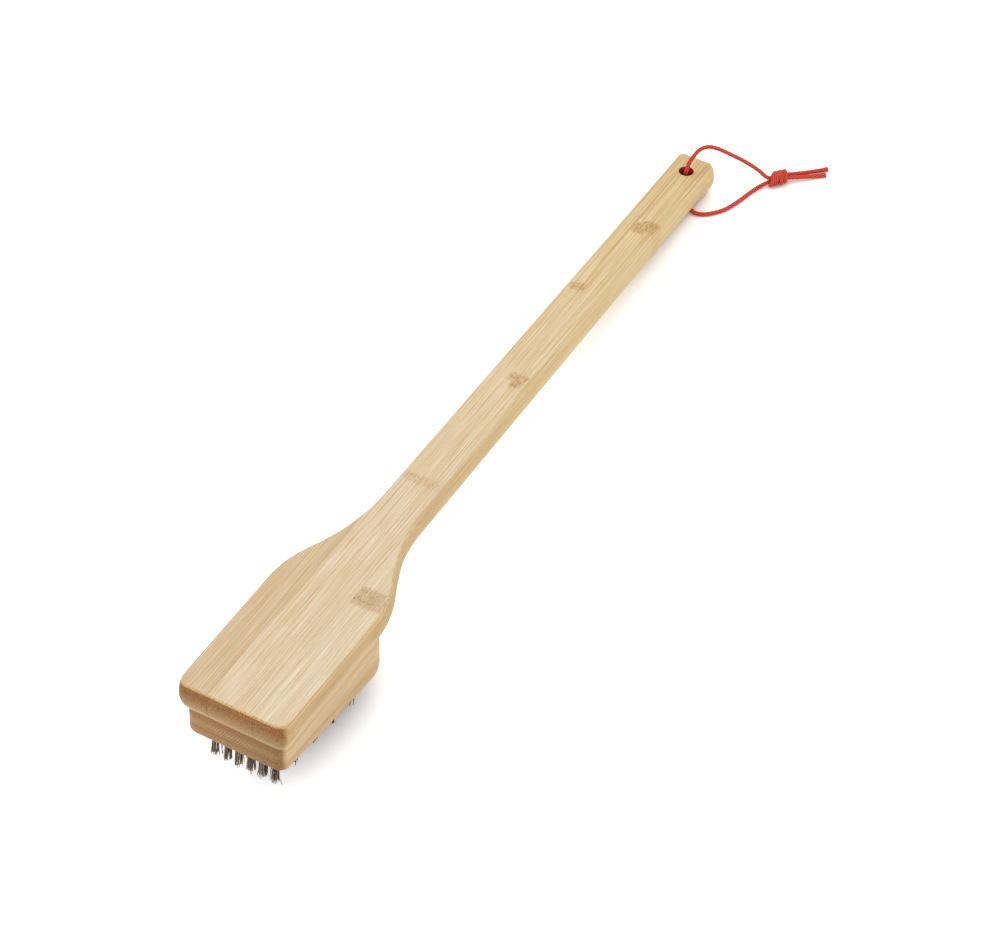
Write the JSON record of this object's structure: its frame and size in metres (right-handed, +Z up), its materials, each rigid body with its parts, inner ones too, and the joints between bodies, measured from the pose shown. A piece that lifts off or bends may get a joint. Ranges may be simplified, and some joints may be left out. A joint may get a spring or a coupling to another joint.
{
  "type": "grill brush",
  "caption": "Long wooden paddle brush for grill grates, with steel wire tufts in a wedge-shaped block under its head and a hanging cord through its handle.",
  "frame": {"origin": "on the table, under the middle of the box around the wooden pieces and the wires", "axes": "+X from the head towards the handle's tip, +Z up from the table, +Y across"},
  "size_m": [0.4995, 0.0902, 0.0717],
  "materials": {
    "bamboo_core": "sanded bamboo, unvarnished",
    "bamboo_cheek": "sanded bamboo, unvarnished",
    "bamboo_wedge": "sawn and sanded bamboo",
    "bamboo_tuft_board": "sawn and sanded bamboo, drilled",
    "wire": "dark drawn steel wire",
    "cord": "braided synthetic cord"
  },
  "bodies": {
    "brush": {"handle_plank": "bamboo_core", "head_cheek_left": "bamboo_cheek", "head_cheek_right": "bamboo_cheek", "wedge_ply": "bamboo_wedge", "tuft_board": "bamboo_tuft_board", "bristle_row_01": "wire", "bristle_row_02": "wire", "bristle_row_03": "wire", "bristle_row_04": "wire", "bristle_row_05": "wire", "bristle_row_06": "wire", "bristle_row_07": "wire", "bristle_row_08": "wire", "bristle_row_09": "wire", "bristle_row_10": "wire", "bristle_row_11": "wire"},
    "hang_loop": {"cord_over": "cord", "cord_under": "cord", "cord_knot": "cord", "cord_tail_a": "cord", "cord_tail_b": "cord"}
  },
  "joints": [
    {"name": "loop_swing", "type": "hinge", "parent": "brush", "child": "hang_loop", "pos_m": [0.21544, 0, 0], "axis": [0, 0, 1], "range_deg": [-95, 45]}
  ]
}
